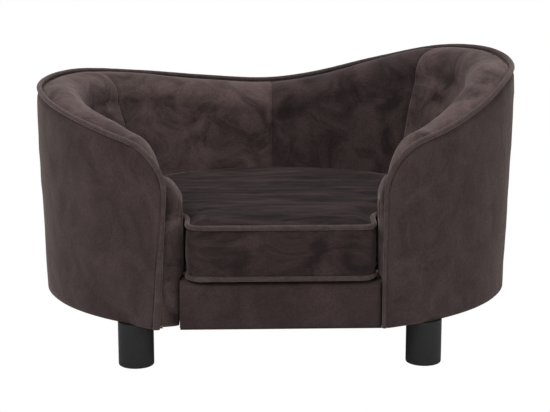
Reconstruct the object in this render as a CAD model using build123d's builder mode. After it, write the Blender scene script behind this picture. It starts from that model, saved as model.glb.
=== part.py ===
"""Tub-shaped sofa bed for a dog, in millimetres: +X to the sitter's left hand, -Y to the front, +Z up."""

from build123d import *
from math import acos, cos, degrees, radians, sin, sqrt
import os

os.makedirs("parts", exist_ok=True)

# Overall sizes
width = 690.0
depth = 500.0
height = 400.0
opening_width = 262.0

# Plan of the wall: two half ellipses that share the widest line
widest_line_y = 5.0
right_end_angle = -65.3
left_end_angle = 242.4
right_seam_angle = 38.0
left_seam_angle = 148.0

# Levels
base_height = 63.0
deck_top = 126.0
cushion_thickness = 77.0

# Thickness of the padded wall
side_wall = 123.0
back_wall = 96.0
arm_end_wall = 76.0
roll_thickness = 68.0
wall_taper = 8.5
tip_radius = 55.0

# Boards and timber
base_board_thickness = 12.0
deck_thickness = 8.0
shell_thickness = 3.0
rib_thickness = 12.0
rail_board_thickness = 12.0
bearer_width = 20.0
bearer_length = 330.0
bearer_spacing = 120.0
cavity_top_drop = 28.0

# Cloth and padding
cover_thickness = 1.8
wadding_thickness = 2.5
wall_padding = 35.7
rail_padding = 12.0
rail_edge_radius = 8.0
deck_cloth_thickness = 3.0
dust_cover_thickness = 0.8
welt_diameter = 7.0
welt_inset = 4.5
side_roll_rise = 2.5
back_roll_rise = -4.0
roll_depth = 45.0
shoulder_depth = 34.0
shoulder_draw = 2.5

# Front rail
rail_width = 271.0
rail_setback = 10.0

# Feet and their bolts
foot_diameter = 49.0
foot_edge = 2.0
front_foot_spacing = 396.0
rear_foot_spacing = 340.0
front_foot_setback = 58.0
rear_foot_setback = 85.0
bolt_diameter = 7.6
bolt_depth = 28.0
bolt_projection = 6.0
bore_diameter = 8.0
tee_flange_diameter = 22.0
tee_flange_thickness = 1.5
tee_barrel_diameter = 10.0
tee_barrel_length = 9.0

# Screws and staples
screw_diameter = 4.0
screw_head_diameter = 8.0
screw_head_height = 3.0
screw_length = 34.0
screw_play = 0.2
staple_count = 24
staple_width = 10.0
staple_wire = 1.1
staple_leg = 7.0
staple_inset = 12.0

# Cushion
cushion_back_radius = 285.0
cushion_back_gap = 8.0
cushion_side_gap = 8.0
cushion_neck_gap = 2.0
cushion_neck_radius = 30.0
cushion_corner_radius = 24.0
cushion_side_radius = 190.0
cushion_front_setback = 6.0
back_arc_angle = 31.8
side_arc_angle = 45.0
cushion_piping = 7.0
cushion_draw_in = 2.0
crown_rise = 9.0
crown_run = 40.0

# Zip in the back of the cushion
zip_half_angle = 24.0
zip_tape_width = 26.0
zip_tape_thickness = 0.8
zip_chain_width = 5.0
zip_chain_thickness = 1.6
slider_width = 10.0
slider_length = 13.0
slider_wall = 1.0
slider_play = 0.05
slider_bridge_length = 7.0
slider_bridge_width = 2.5
slider_bridge_height = 1.4

# Clearances
face_gap = 0.3
welt_gap = 1.6
board_gap = 0.5
joint_gap = 0.4
piece_gap = 0.15

# Height of the top edge round the wall, as shares of the overall height, by plan angle
# (0 is the right side, 90 the middle of the back, 180 the left side)
wave_shares = (
    (-70.0, 0.765),
    (-51.0, 0.822),
    (-36.0, 0.888),
    (-20.0, 0.956),
    (0.0, 0.982),
    (21.0, 1.0),
    (41.0, 0.984),
    (61.0, 0.921),
    (79.0, 0.853),
    (92.0, 0.830),
    (109.0, 0.847),
    (128.0, 0.880),
    (152.0, 0.913),
    (180.0, 0.906),
    (195.0, 0.893),
    (217.0, 0.847),
    (232.5, 0.802),
    (246.0, 0.765),
)

# How far into the rounded arm tip the sections stand, as shares of its radius
tip_shares = (0.97, 0.9, 0.78, 0.6, 0.35, 0.0)

# The rounded arm front: how far out each section stands, and how much it has drawn in, as shares
nose_shares = ((0.0, 0.0), (0.4, 0.075), (0.75, 0.285), (1.0, 0.63))

# Points of the welt down an arm front, as shares of its height there
side_shares = (0.0, 0.15, 0.3, 0.45, 0.6, 0.75, 0.87, 0.95)

# The crown of the cushion: how far in each section stands, and how high, as shares of its run and rise
crown_shares = ((0.0, 0.0), (0.15, 0.4), (0.5, 0.8), (1.0, 1.0))

# Worked out from the sizes above
half_width = width / 2
back_half_depth = depth / 2 - widest_line_y
front_half_depth = (depth / 2 + widest_line_y) / sin(radians(-right_end_angle))
wall_bottom = base_height - dust_cover_thickness + piece_gap
base_top = base_height + base_board_thickness
welt_radius = welt_diameter / 2
welt_clearance = welt_radius + welt_gap
inner_half_width = half_width - side_wall
inner_back_depth = back_half_depth - back_wall
board_outer = cover_thickness + wadding_thickness + 2 * face_gap
board_inner = board_outer + shell_thickness
cover_start = welt_inset + welt_radius + 2 * face_gap


def wave(angle):
    """Height of the top of the welt at a plan angle, by a smooth curve through the shares."""
    keys = wave_shares
    index = max(i for i in range(len(keys) - 1) if keys[i][0] <= angle)
    (a0, s0), (a1, s1) = keys[index], keys[index + 1]
    before = keys[max(index - 1, 0)]
    after = keys[min(index + 2, len(keys) - 1)]
    slope0 = (s1 - before[1]) / (a1 - before[0])
    slope1 = (after[1] - s0) / (after[0] - a0)
    span = a1 - a0
    t = (angle - a0) / span
    share = (2 * t**3 - 3 * t**2 + 1) * s0 + (t**3 - 2 * t**2 + t) * span * slope0
    share += (3 * t**2 - 2 * t**3) * s1 + (t**3 - t**2) * span * slope1
    return share * height


def outer_point(angle):
    """Point of the outer plan curve at a plan angle."""
    semi = back_half_depth if sin(radians(angle)) > 0 else front_half_depth
    return Vector(half_width * cos(radians(angle)), widest_line_y + semi * sin(radians(angle)))


def tip_angle(end_angle, distance):
    """Plan angle that lies a distance along the wall from its end."""
    t = radians(end_angle)
    pace = sqrt((half_width * sin(t)) ** 2 + (front_half_depth * cos(t)) ** 2)
    return end_angle + degrees(distance / pace) * (1 if end_angle < 0 else -1)


def inner_point(angle):
    """Point of the inner plan curve, at seat level, that faces the outer point of the same angle."""
    turn = radians(angle)
    if sin(turn) > 0:
        return Vector(inner_half_width * cos(turn), widest_line_y + inner_back_depth * sin(turn))
    end_angle = right_end_angle if cos(turn) > 0 else left_end_angle
    end = outer_point(end_angle)
    end_turn = acos(abs(end.X) / inner_half_width)
    semi = (widest_line_y - end.Y - arm_end_wall) / sin(end_turn)
    full = abs(end_angle if end_angle < 0 else end_angle - 180)
    passed = -angle if end_angle < 0 else angle - 180
    inner_turn = end_turn * passed / full
    side = 1 if end_angle < 0 else -1
    return Vector(side * inner_half_width * cos(inner_turn), widest_line_y - semi * sin(inner_turn))


def wall_thickness(angle):
    """Thickness of the padded wall at seat level."""
    return (inner_point(angle) - outer_point(angle)).length


def station(angle, shift=0.0):
    """Upright plane across the wall: its x runs from the outer face inwards, its y is up."""
    inward = (inner_point(angle) - outer_point(angle)).normalized()
    along = inward.cross(Vector(0, 0, 1))
    return Plane(origin=outer_point(angle) + along * shift, x_dir=inward, z_dir=along)


def tip_drop(angle):
    """How far the top edge has come down at the rounded tip of an arm."""
    right_room = (angle - right_end_angle) / (tip_angle(right_end_angle, tip_radius) - right_end_angle)
    left_room = (left_end_angle - angle) / (left_end_angle - tip_angle(left_end_angle, tip_radius))
    into = 1 - min(right_room, left_room, 1)
    into = min(into * tip_shares[0], tip_shares[0])
    return tip_radius * (1 - sqrt(1 - into**2))


def welt_height(angle):
    """Height of the middle of the welt."""
    return wave(angle) - welt_radius - tip_drop(angle)


def roll_rise(angle):
    """How far the padded roll stands above the middle of the welt."""
    back_share = max(0.0, sin(radians(angle)))
    return side_roll_rise * (1 - back_share) + back_roll_rise * back_share


def span_angles(start, end, pieces):
    """Evenly spaced plan angles from start to end."""
    return [start + (end - start) * i / pieces for i in range(pieces + 1)]


def tip_angles(end_angle):
    """Plan angles of the sections in the rounded tip, from the end of the arm on."""
    first = tip_shares[0]
    return [tip_angle(end_angle, tip_radius * (1 - share / first)) for share in tip_shares]


right_tip = tip_angles(right_end_angle)
left_tip = tip_angles(left_end_angle)[::-1]
right_arm_angles = right_tip + span_angles(right_tip[-1], right_seam_angle, 9)[1:]
back_right_angles = span_angles(right_seam_angle, 90, 5)
back_left_angles = span_angles(90, left_seam_angle, 5)
left_arm_angles = span_angles(left_seam_angle, left_tip[0], 9)[:-1] + left_tip
all_angles = right_arm_angles + back_right_angles[1:] + back_left_angles[1:] + left_arm_angles[1:]
sector_pieces = 9
beyond_right_end = right_end_angle - sector_pieces
beyond_left_end = left_end_angle + sector_pieces


def taper_inset(level, depth_in, top):
    """Inset at a level of a line that lies depth_in inside the tapered outer face."""
    return depth_in + wall_taper * (top - level) / (top - wall_bottom)


def save(piece, name):
    """Label a finished piece and write it."""
    piece.label = name
    export_step(piece, "parts/" + name + ".step")


def outer_cover_profile(angle):
    """Section of the outer cover: a thin skin with a soft shoulder under the welt."""
    edge = welt_height(angle) - welt_clearance
    shoulder = edge - shoulder_depth
    mid = edge - shoulder_depth / 2
    with BuildSketch(station(angle)) as profile:
        with BuildLine():
            Line((wall_taper, wall_bottom), (0, shoulder))
            ThreePointArc((0, shoulder), (shoulder_draw / 4, mid), (shoulder_draw, edge))
            Line((shoulder_draw, edge), (shoulder_draw + cover_thickness, edge))
            ThreePointArc(
                (shoulder_draw + cover_thickness, edge),
                (shoulder_draw / 4 + cover_thickness, mid),
                (cover_thickness, shoulder),
            )
            Line((cover_thickness, shoulder), (wall_taper + cover_thickness, wall_bottom))
            Line((wall_taper + cover_thickness, wall_bottom), (wall_taper, wall_bottom))
        make_face()
    return profile.sketch


def wadding_profile(angle):
    """Section of the wadding between the outer cover and the outer shell board."""
    outer = cover_thickness + face_gap
    top = welt_height(angle) - welt_clearance - shoulder_depth
    low = base_height + dust_cover_thickness
    with BuildSketch(station(angle)) as profile:
        with BuildLine():
            Polyline(
                (taper_inset(low, outer, top), low),
                (outer, top),
                (outer + wadding_thickness, top),
                (taper_inset(low, outer + wadding_thickness, top), low),
                close=True,
            )
        make_face()
    return profile.sketch


def board_line(angle, depth_in, level):
    """Inset at a level of a line parallel to the outer shell board."""
    top = welt_height(angle) - welt_clearance - shoulder_depth
    return taper_inset(level, depth_in, top)


def cavity_top(angle):
    """Top of the boards and ribs, under the padding of the roll."""
    return welt_height(angle) - cavity_top_drop


def outer_shell_profile(angle):
    """Section of the bent board behind the outer cover."""
    top = cavity_top(angle)
    with BuildSketch(station(angle)) as profile:
        with BuildLine():
            Polyline(
                (board_line(angle, board_outer, base_height), base_height),
                (board_line(angle, board_outer, top), top),
                (board_line(angle, board_inner, top), top),
                (board_line(angle, board_inner, base_height), base_height),
                close=True,
            )
        make_face()
    return profile.sketch


def inner_line(angle, behind, level):
    """Inset at a level of a line behind the visible inner face, from the roll down to the seat."""
    top = cavity_top(angle)
    at_top = roll_thickness - behind
    at_deck = wall_thickness(angle) - behind
    return at_top + (at_deck - at_top) * (top - level) / (top - deck_top)


padding_behind = cover_thickness + face_gap + wall_padding


def inner_shell_profile(angle):
    """Section of the bent board that carries the foam of the inner face."""
    top = cavity_top(angle)
    front = padding_behind + face_gap
    back = front + shell_thickness
    low = base_top + piece_gap
    with BuildSketch(station(angle)) as profile:
        with BuildLine():
            Polyline(
                (inner_line(angle, front, low), low),
                (inner_line(angle, front, top), top),
                (inner_line(angle, back, top), top),
                (inner_line(angle, back, low), low),
                close=True,
            )
        make_face()
    return profile.sketch


def cavity_profile(angle):
    """Section of the hollow between the two shell boards, with a little room all round."""
    top = cavity_top(angle) - piece_gap
    outer = board_inner + board_gap
    inner = padding_behind + face_gap + shell_thickness + board_gap
    with BuildSketch(station(angle)) as profile:
        with BuildLine():
            Polyline(
                (board_line(angle, outer, base_top), base_top),
                (board_line(angle, outer, top), top),
                (inner_line(angle, inner, top), top),
                (inner_line(angle, inner, base_top), base_top),
                close=True,
            )
        make_face()
    return profile.sketch


def pad_profile(angle):
    """Section of the wall foam: over the boards at the top, down the inner face to the seat deck."""
    level = welt_height(angle)
    skin = cover_thickness + face_gap
    start = cover_start + skin
    roll = roll_thickness - skin
    crown = level + roll_rise(angle) - skin
    under = cavity_top(angle) + face_gap
    with BuildSketch(station(angle)) as profile:
        with BuildLine():
            ThreePointArc(
                (start, level - welt_clearance - skin),
                ((start + roll) / 2, crown),
                (roll, level - roll_depth),
            )
            Polyline(
                (roll, level - roll_depth),
                (wall_thickness(angle) - skin, deck_top),
                (inner_line(angle, padding_behind, deck_top), deck_top),
                (inner_line(angle, padding_behind, under), under),
                (start, under),
                (start, level - welt_clearance - skin),
            )
        make_face()
    return profile.sketch


def inner_cover_profile(angle):
    """Section of the inner cover: a thin skin from the welt over the roll down to the seat deck."""
    level = welt_height(angle)
    start = cover_start
    crown = level + roll_rise(angle)
    low = deck_top + piece_gap
    edge = level - welt_clearance
    skin = cover_thickness
    with BuildSketch(station(angle)) as profile:
        with BuildLine():
            ThreePointArc(
                (start, edge),
                ((start + roll_thickness) / 2, crown),
                (roll_thickness, level - roll_depth),
            )
            Line((roll_thickness, level - roll_depth), (wall_thickness(angle), low))
            Line((wall_thickness(angle), low), (wall_thickness(angle) - skin, low))
            Line((wall_thickness(angle) - skin, low), (roll_thickness - skin, level - roll_depth))
            ThreePointArc(
                (roll_thickness - skin, level - roll_depth),
                ((start + roll_thickness) / 2, crown - skin),
                (start + skin, edge - skin),
            )
            Line((start + skin, edge - skin), (start, edge))
        make_face()
    return profile.sketch


def nose_profile(end_angle, shift, draw, inset, low):
    """Section across the padded front of an arm, drawn in all round."""
    level = welt_height(end_angle)
    inset = inset + draw
    outward = shift if end_angle > 0 else -shift
    start = cover_start + inset
    roll = roll_thickness - inset
    crown = level + roll_rise(end_angle) - inset
    with BuildSketch(station(end_angle, outward)) as profile:
        with BuildLine():
            ThreePointArc(
                (start, level - welt_clearance - inset),
                ((start + roll) / 2, crown),
                (roll, level - roll_depth),
            )
            Polyline(
                (roll, level - roll_depth),
                (arm_end_wall - inset, deck_top),
                (arm_end_wall - inset, low),
                (start + wall_taper, low),
                (start, level - welt_clearance - inset),
            )
        make_face()
    return profile.sketch


def nose_profiles(end_angle, inset, low, first_shift):
    """Sections of a padded arm front, from the end of the wall to the tip beside the opening."""
    reach = abs(outer_point(end_angle).X) - opening_width / 2
    half = (arm_end_wall - cover_start) / 2
    first = nose_profile(end_angle, first_shift, 0, inset, low)
    rest = [
        nose_profile(end_angle, (reach - inset) * out, half * draw, inset, low)
        for out, draw in nose_shares[1:]
    ]
    return [first] + rest


def sector(start, end):
    """Plan region that holds the wall between two plan angles."""
    angles = span_angles(start, end, sector_pieces)
    outer = [station(angle).from_local_coords(Vector(-tip_radius, 0, 0)) for angle in angles]
    inner = [
        station(angle).from_local_coords(Vector(wall_thickness(angle) + wall_taper, 0, 0))
        for angle in reversed(angles)
    ]
    with BuildSketch() as region:
        with BuildLine():
            Polyline(*outer, *inner, close=True)
        make_face()
    return region.sketch


def wall_loft(profile):
    """The whole wall through one kind of section, from arm front to arm front."""
    return loft([profile(angle) for angle in all_angles])


def arc_outline(inset):
    """Outline of the cushion, drawn in by inset: back arc, round sides, neck between the arm fronts."""
    back_y = widest_line_y + inner_back_depth - cushion_back_gap - inset
    side_x = inner_half_width - cushion_side_gap - inset
    neck_x = opening_width / 2 - cushion_neck_gap - inset
    front_y = cushion_front_setback - depth / 2 + inset
    back_radius = cushion_back_radius - inset
    turn = radians(side_arc_angle)
    lead = (side_x - back_radius * sin(radians(back_arc_angle))) / (1 - sin(radians(back_arc_angle)))
    neck = cushion_neck_radius + inset
    side = cushion_side_radius - inset
    run = (side_x - side * (1 - cos(turn)) - neck_x - neck * (1 - cos(turn))) / sin(turn)
    corner = max(cushion_corner_radius - inset, cushion_corner_radius / 4)
    with BuildSketch() as outline:
        with BuildLine():
            back = JernArc((0, back_y), (1, 0), back_radius, -back_arc_angle)
            rear = JernArc(back @ 1, back % 1, lead, back_arc_angle - 90)
            flank = JernArc(rear @ 1, rear % 1, side, -side_arc_angle)
            slant = Line(flank @ 1, (flank @ 1) + (flank % 1) * run)
            throat = JernArc(slant @ 1, slant % 1, neck, side_arc_angle)
            tongue = Line(throat @ 1, (neck_x, front_y + corner))
            JernArc(tongue @ 1, (0, -1), corner, -90)
            Line((neck_x - corner, front_y), (0, front_y))
            mirror(about=Plane.YZ)
        make_face()
    return outline.sketch


def cushion_section(inset, level):
    """The cushion outline, drawn in by inset, at a level."""
    return arc_outline(inset).moved(Location((0, 0, level)))


# Foot places
front_foot_y = front_foot_setback - depth / 2
rear_foot_y = depth / 2 - rear_foot_setback
foot_places = {
    "front_left": (-front_foot_spacing / 2, front_foot_y),
    "front_right": (front_foot_spacing / 2, front_foot_y),
    "rear_left": (-rear_foot_spacing / 2, rear_foot_y),
    "rear_right": (rear_foot_spacing / 2, rear_foot_y),
}
foot_points = list(foot_places.values())

# Rib stations
rib_names = {
    "right_front": right_end_angle,
    "right_middle": -33.0,
    "right_side": 4.0,
    "right_rear": 46.0,
    "back": 90.0,
    "left_rear": 134.0,
    "left_side": 176.0,
    "left_middle": 213.0,
    "left_front": left_end_angle,
}


def rib_station(angle):
    """Plane of a rib: the end ribs stand wholly inside the end of the wall."""
    shift = rib_thickness / 2 + piece_gap
    if angle == right_end_angle:
        return station(angle, shift)
    if angle == left_end_angle:
        return station(angle, -shift)
    return station(angle)


def rib_screw_point(angle):
    """Plan point of the screw that holds a rib to the base board."""
    outer = board_line(angle, board_inner + board_gap, base_top)
    inner = inner_line(angle, padding_behind + shell_thickness + board_gap, base_top)
    return rib_station(angle).from_local_coords(Vector((outer + inner) / 2, 0, 0))


screw_points = [rib_screw_point(angle) for angle in rib_names.values()]
board_inset = board_inner + wall_taper + 2 * board_gap
rail_front = rail_setback - depth / 2
rail_board_front = rail_front + cover_thickness + rail_padding + 2 * face_gap
rail_board_back = rail_board_front + rail_board_thickness


def arm_front_space():
    """Plan of the two padded arm fronts, beyond the ends of the wall, with a little room."""
    with BuildSketch() as space:
        for end_angle in (right_end_angle, left_end_angle):
            end = outer_point(end_angle)
            side = 1 if end.X > 0 else -1
            inner_x = side * (rail_width / 2 + joint_gap)
            outer_x = end.X + side * piece_gap
            back_y = end.Y + arm_end_wall + piece_gap
            with Locations(((inner_x + outer_x) / 2, (back_y - depth) / 2)):
                Rectangle(abs(outer_x - inner_x), back_y + depth)
    return space.sketch


def oval(inset, front_cut):
    """The wall's plan drawn in by inset, cut straight across the front and round the arm fronts."""
    with BuildSketch() as shape:
        for semi, start in ((back_half_depth, 0), (front_half_depth, 180)):
            with BuildLine():
                half = EllipticalCenterArc(
                    (0, widest_line_y), half_width - inset, semi - inset, start, arc_size=180
                )
                Line(half @ 1, half @ 0)
            make_face()
        with Locations((0, front_cut - depth / 2)):
            Rectangle(width, depth, mode=Mode.SUBTRACT)
        add(arm_front_space(), mode=Mode.SUBTRACT)
    return shape.sketch


def staple_places():
    """Places of the staples round the edge of the dust cover, clear of the feet."""
    places = []
    for index in range(staple_count):
        turn = 2 * 180 * (index + 0.5) / staple_count
        inset = board_inset + staple_inset
        point = outer_point(turn)
        x = point.X * (1 - inset / half_width)
        y = widest_line_y + (point.Y - widest_line_y) * (1 - inset / half_width)
        place = Vector(x, max(y, rail_board_front + staple_inset))
        if all((place - Vector(*foot)).length > foot_diameter / 2 + staple_width for foot in foot_points):
            places.append(Location((place.X, place.Y, 0), (0, 0, turn + 90)))
    return places


staples = staple_places()
prong_places = [(-(staple_width - staple_wire) / 2, 0), ((staple_width - staple_wire) / 2, 0)]

# Base board
with BuildPart() as base_board:
    with BuildSketch(Plane.XY.offset(base_height)):
        add(oval(board_inset, rail_board_front))
        with Locations(*foot_points):
            Circle(tee_barrel_diameter / 2 + face_gap, mode=Mode.SUBTRACT)
        with Locations(*screw_points):
            Circle(screw_diameter / 2 + screw_play, mode=Mode.SUBTRACT)
    extrude(amount=base_board_thickness)
    with BuildSketch(Plane.XY.offset(base_height)):
        with Locations(*screw_points):
            Circle(screw_head_diameter / 2 + screw_play)
    extrude(amount=screw_head_height + screw_play, mode=Mode.SUBTRACT)
    with BuildSketch(Plane.XY.offset(base_height)):
        with Locations(*staples):
            with Locations(*prong_places):
                Rectangle(staple_wire + screw_play, staple_wire + screw_play)
    extrude(amount=staple_leg + screw_play, mode=Mode.SUBTRACT)
save(base_board.part, "base_board")

# Upright ribs of the hollow wall
for name, angle in rib_names.items():
    with BuildPart() as rib:
        wall_loft(cavity_profile)
        with BuildSketch(rib_station(angle)):
            with Locations((wall_thickness(angle) / 2, height / 2)):
                Rectangle(wall_thickness(angle) + tip_radius, height)
        extrude(amount=rib_thickness / 2, both=True, mode=Mode.INTERSECT)
        with BuildSketch(Plane.XY.offset(base_top)):
            with Locations(rib_screw_point(angle)):
                Circle(screw_diameter / 2 + screw_play)
        extrude(amount=screw_length, mode=Mode.SUBTRACT)
    save(rib.part, "rib_" + name)

# Screws up through the base board into the ribs
with BuildPart() as rib_screws:
    with BuildSketch(Plane.XY.offset(base_height)):
        with Locations(*screw_points):
            Circle(screw_head_diameter / 2)
    extrude(amount=screw_head_height)
    with BuildSketch(Plane.XY.offset(base_height + screw_head_height)):
        with Locations(*screw_points):
            Circle(screw_diameter / 2)
    extrude(amount=screw_length - screw_head_height)
save(rib_screws.part, "rib_screws")

# Bent shell boards; the outer one is made in three lengths, like the outer cover
outer_sectors = {
    "right": (beyond_right_end, right_seam_angle),
    "back": (right_seam_angle, left_seam_angle),
    "left": (left_seam_angle, beyond_left_end),
}


def three_lengths(profile):
    """The wall through one kind of section, as a right, a back and a left length."""
    lengths = []
    for start, end in outer_sectors.values():
        with BuildPart() as length:
            wall_loft(profile)
            extrude(sector(start, end), amount=height, mode=Mode.INTERSECT)
        lengths += length.part.solids()
    return Compound(children=lengths)


save(three_lengths(outer_shell_profile), "outer_shell_board")

with BuildPart() as inner_shell_board:
    wall_loft(inner_shell_profile)
save(inner_shell_board.part, "inner_shell_board")

# Front rail board, seat bearers and seat deck
with BuildPart() as rail_board:
    with BuildSketch(Plane.XY.offset(base_top)):
        with Locations((0, (rail_board_front + rail_board_back) / 2)):
            Rectangle(rail_width - 2 * rail_padding, rail_board_thickness)
    extrude(amount=deck_top - deck_thickness - base_top)
save(rail_board.part, "rail_board")

bearer_y = rail_board_back + bearer_length / 2 + rail_padding
for name, place in {"left": -1, "centre": 0, "right": 1}.items():
    with BuildPart() as bearer:
        with BuildSketch(Plane.XY.offset(base_top)):
            with Locations((place * bearer_spacing, bearer_y - abs(place) * bearer_width)):
                Rectangle(bearer_width, bearer_length - 2 * abs(place) * bearer_width)
        extrude(amount=deck_top - deck_thickness - base_top)
    save(bearer.part, "seat_bearer_" + name)

deck_growth = wall_padding - board_outer
with BuildPart() as seat_deck:
    with BuildSketch(Plane.XY.offset(deck_top - deck_thickness)):
        with BuildLine():
            EllipticalCenterArc(
                (0, widest_line_y),
                inner_half_width + deck_growth,
                inner_back_depth + deck_growth,
                0,
                arc_size=180,
            )
            Line(
                (inner_half_width + deck_growth, widest_line_y),
                (-inner_half_width - deck_growth, widest_line_y),
            )
        make_face()
        with BuildLine():
            EllipticalCenterArc(
                (0, widest_line_y),
                inner_half_width + deck_growth,
                front_half_depth - arm_end_wall + deck_growth + wall_taper,
                180,
                arc_size=180,
            )
            Line(
                (inner_half_width + deck_growth, widest_line_y),
                (-inner_half_width - deck_growth, widest_line_y),
            )
        make_face()
        with Locations((0, rail_board_back + rail_board_thickness - depth / 2)):
            Rectangle(width, depth, mode=Mode.SUBTRACT)
        with Locations((0, rail_board_back + piece_gap + rail_board_thickness)):
            Rectangle(opening_width - 2 * cushion_neck_gap, 2 * rail_board_thickness)
        add(arm_front_space(), mode=Mode.SUBTRACT)
    extrude(amount=deck_thickness)
save(seat_deck.part, "seat_deck")

# Cloth on the seat deck
with BuildPart() as deck_cloth:
    extrude(cushion_section(-cushion_neck_gap / 2, deck_top), amount=deck_cloth_thickness)
    with BuildSketch(Plane.XY.offset(deck_top)):
        with Locations((0, rail_board_back - depth / 2)):
            Rectangle(width, depth)
    extrude(amount=deck_cloth_thickness, mode=Mode.SUBTRACT)
save(deck_cloth.part, "deck_cloth")

# Foam of the wall
wall_sectors = {
    "arm_pad_right": (beyond_right_end, right_seam_angle),
    "back_pad": (right_seam_angle, left_seam_angle),
    "arm_pad_left": (left_seam_angle, beyond_left_end),
}
for name, (start, end) in wall_sectors.items():
    with BuildPart() as pad:
        wall_loft(pad_profile)
        extrude(sector(start, end), amount=height, mode=Mode.INTERSECT)
    save(pad.part, name)

# Foam of the arm fronts, cut out for the front rail
rail_space_top = deck_top + 2 * joint_gap


def rail_space():
    """The plan that the front rail takes between the arm fronts."""
    with BuildSketch(Plane.XY.offset(wall_bottom - tip_radius)) as shape:
        with Locations((0, -depth / 2)):
            Rectangle(rail_width + 2 * joint_gap, depth)
    return shape.sketch


nose_skin = cover_thickness + 3 * face_gap
arm_ends = {"right": right_end_angle, "left": left_end_angle}
for name, end_angle in arm_ends.items():
    with BuildPart() as arm_front_pad:
        loft(nose_profiles(end_angle, nose_skin, base_height + face_gap, piece_gap))
        extrude(rail_space(), amount=rail_space_top - wall_bottom + tip_radius, mode=Mode.SUBTRACT)
    save(arm_front_pad.part, "arm_front_pad_" + name)

# Wadding and outer cover
save(three_lengths(wadding_profile), "outer_wadding")

for name, (start, end) in outer_sectors.items():
    with BuildPart() as outer_cover:
        wall_loft(outer_cover_profile)
        extrude(sector(start, end), amount=height, mode=Mode.INTERSECT)
    save(outer_cover.part, "outer_cover_" + name)

# Inner cover: the arm panels run on round the arm fronts
for name, start, end in (
    ("right", beyond_right_end, right_seam_angle),
    ("left", left_seam_angle, beyond_left_end),
):
    with BuildPart() as arm_cover:
        wall_loft(inner_cover_profile)
        extrude(sector(start, end), amount=height, mode=Mode.INTERSECT)
        loft(nose_profiles(arm_ends[name], 0, wall_bottom, 0))
        loft(
            nose_profiles(arm_ends[name], cover_thickness, wall_bottom - nose_skin, -nose_skin),
            mode=Mode.SUBTRACT,
        )
        extrude(rail_space(), amount=rail_space_top - wall_bottom + tip_radius, mode=Mode.SUBTRACT)
    save(arm_cover.part, "inner_cover_" + name)

for name, start, end in (
    ("right", right_seam_angle, 90),
    ("left", 90, left_seam_angle),
):
    with BuildPart() as back_cover:
        wall_loft(inner_cover_profile)
        extrude(sector(start, end), amount=height, mode=Mode.INTERSECT)
    save(back_cover.part, "inner_cover_back_" + name)


def edge_slope(angle):
    """Slope of the top edge of the outer cover, along the wall."""
    step = (left_end_angle - right_end_angle) / width / 2
    ahead = min(angle + step, left_end_angle)
    behind = max(angle - step, right_end_angle)
    run = (outer_point(ahead) - outer_point(behind)).length
    return (welt_height(ahead) - welt_height(behind)) / run


def welt_point(angle):
    """Middle of the welt, a little off the edge of the outer cover."""
    slope = edge_slope(angle)
    off = welt_clearance / sqrt(1 + slope**2)
    plane = station(angle, -slope * off)
    edge = welt_height(angle) - welt_clearance
    return plane.from_local_coords(Vector(welt_inset, edge + off, 0))


def welt_foot(end_angle):
    """Lower end of the welt, at the bottom of an arm front."""
    outward = welt_clearance if end_angle > 0 else -welt_clearance
    return station(end_angle, outward).from_local_coords(Vector(welt_inset + wall_taper, wall_bottom, 0))


# Welt along the top edge and down both arm fronts
with BuildPart() as welt:
    with BuildLine() as welt_line:
        right_side = [
            welt_foot(right_end_angle) + (welt_point(right_end_angle) - welt_foot(right_end_angle)) * share
            for share in side_shares
        ]
        left_side = [
            welt_foot(left_end_angle) + (welt_point(left_end_angle) - welt_foot(left_end_angle)) * share
            for share in reversed(side_shares)
        ]
        Spline(*right_side, *[welt_point(angle) for angle in all_angles], *left_side)
    with BuildSketch(Plane(origin=welt_line.line @ 0, z_dir=welt_line.line % 0)):
        Circle(welt_radius)
    sweep(path=welt_line.line)
save(welt.part, "welt")

# Front rail: foam and cover over the front and the top of the rail board
rail_pad_front = rail_front + cover_thickness + face_gap
with BuildPart() as rail_pad:
    with BuildSketch(Plane.YZ.offset(-rail_width / 2)):
        with BuildLine():
            Polyline(
                (rail_pad_front, base_height),
                (rail_pad_front, deck_top - cover_thickness - face_gap),
                (rail_board_back, deck_top - cover_thickness - face_gap),
                (rail_board_back, deck_top - deck_thickness),
                (rail_board_front - face_gap, deck_top - deck_thickness),
                (rail_board_front - face_gap, base_height),
                close=True,
            )
        rail_pad_face = make_face()
        fillet(
            rail_pad_face.vertices().sort_by(Axis.Y)[-2:].sort_by(Axis.X)[0],
            rail_edge_radius - cover_thickness - face_gap,
        )
    extrude(amount=rail_width)
save(rail_pad.part, "rail_pad")

with BuildPart() as rail_cover:
    with BuildSketch(Plane.YZ.offset(-rail_width / 2)):
        with BuildLine():
            Line((rail_front, wall_bottom), (rail_front, deck_top - rail_edge_radius))
            JernArc((rail_front, deck_top - rail_edge_radius), (0, 1), rail_edge_radius, -90)
            Line((rail_front + rail_edge_radius, deck_top), (rail_board_back, deck_top))
            Line((rail_board_back, deck_top), (rail_board_back, deck_top - cover_thickness))
            Line(
                (rail_board_back, deck_top - cover_thickness),
                (rail_front + rail_edge_radius, deck_top - cover_thickness),
            )
            JernArc(
                (rail_front + rail_edge_radius, deck_top - cover_thickness),
                (-1, 0),
                rail_edge_radius - cover_thickness,
                90,
            )
            Line(
                (rail_front + cover_thickness, deck_top - rail_edge_radius),
                (rail_front + cover_thickness, wall_bottom),
            )
            Line((rail_front + cover_thickness, wall_bottom), (rail_front, wall_bottom))
        make_face()
    extrude(amount=rail_width)
save(rail_cover.part, "rail_cover")

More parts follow.
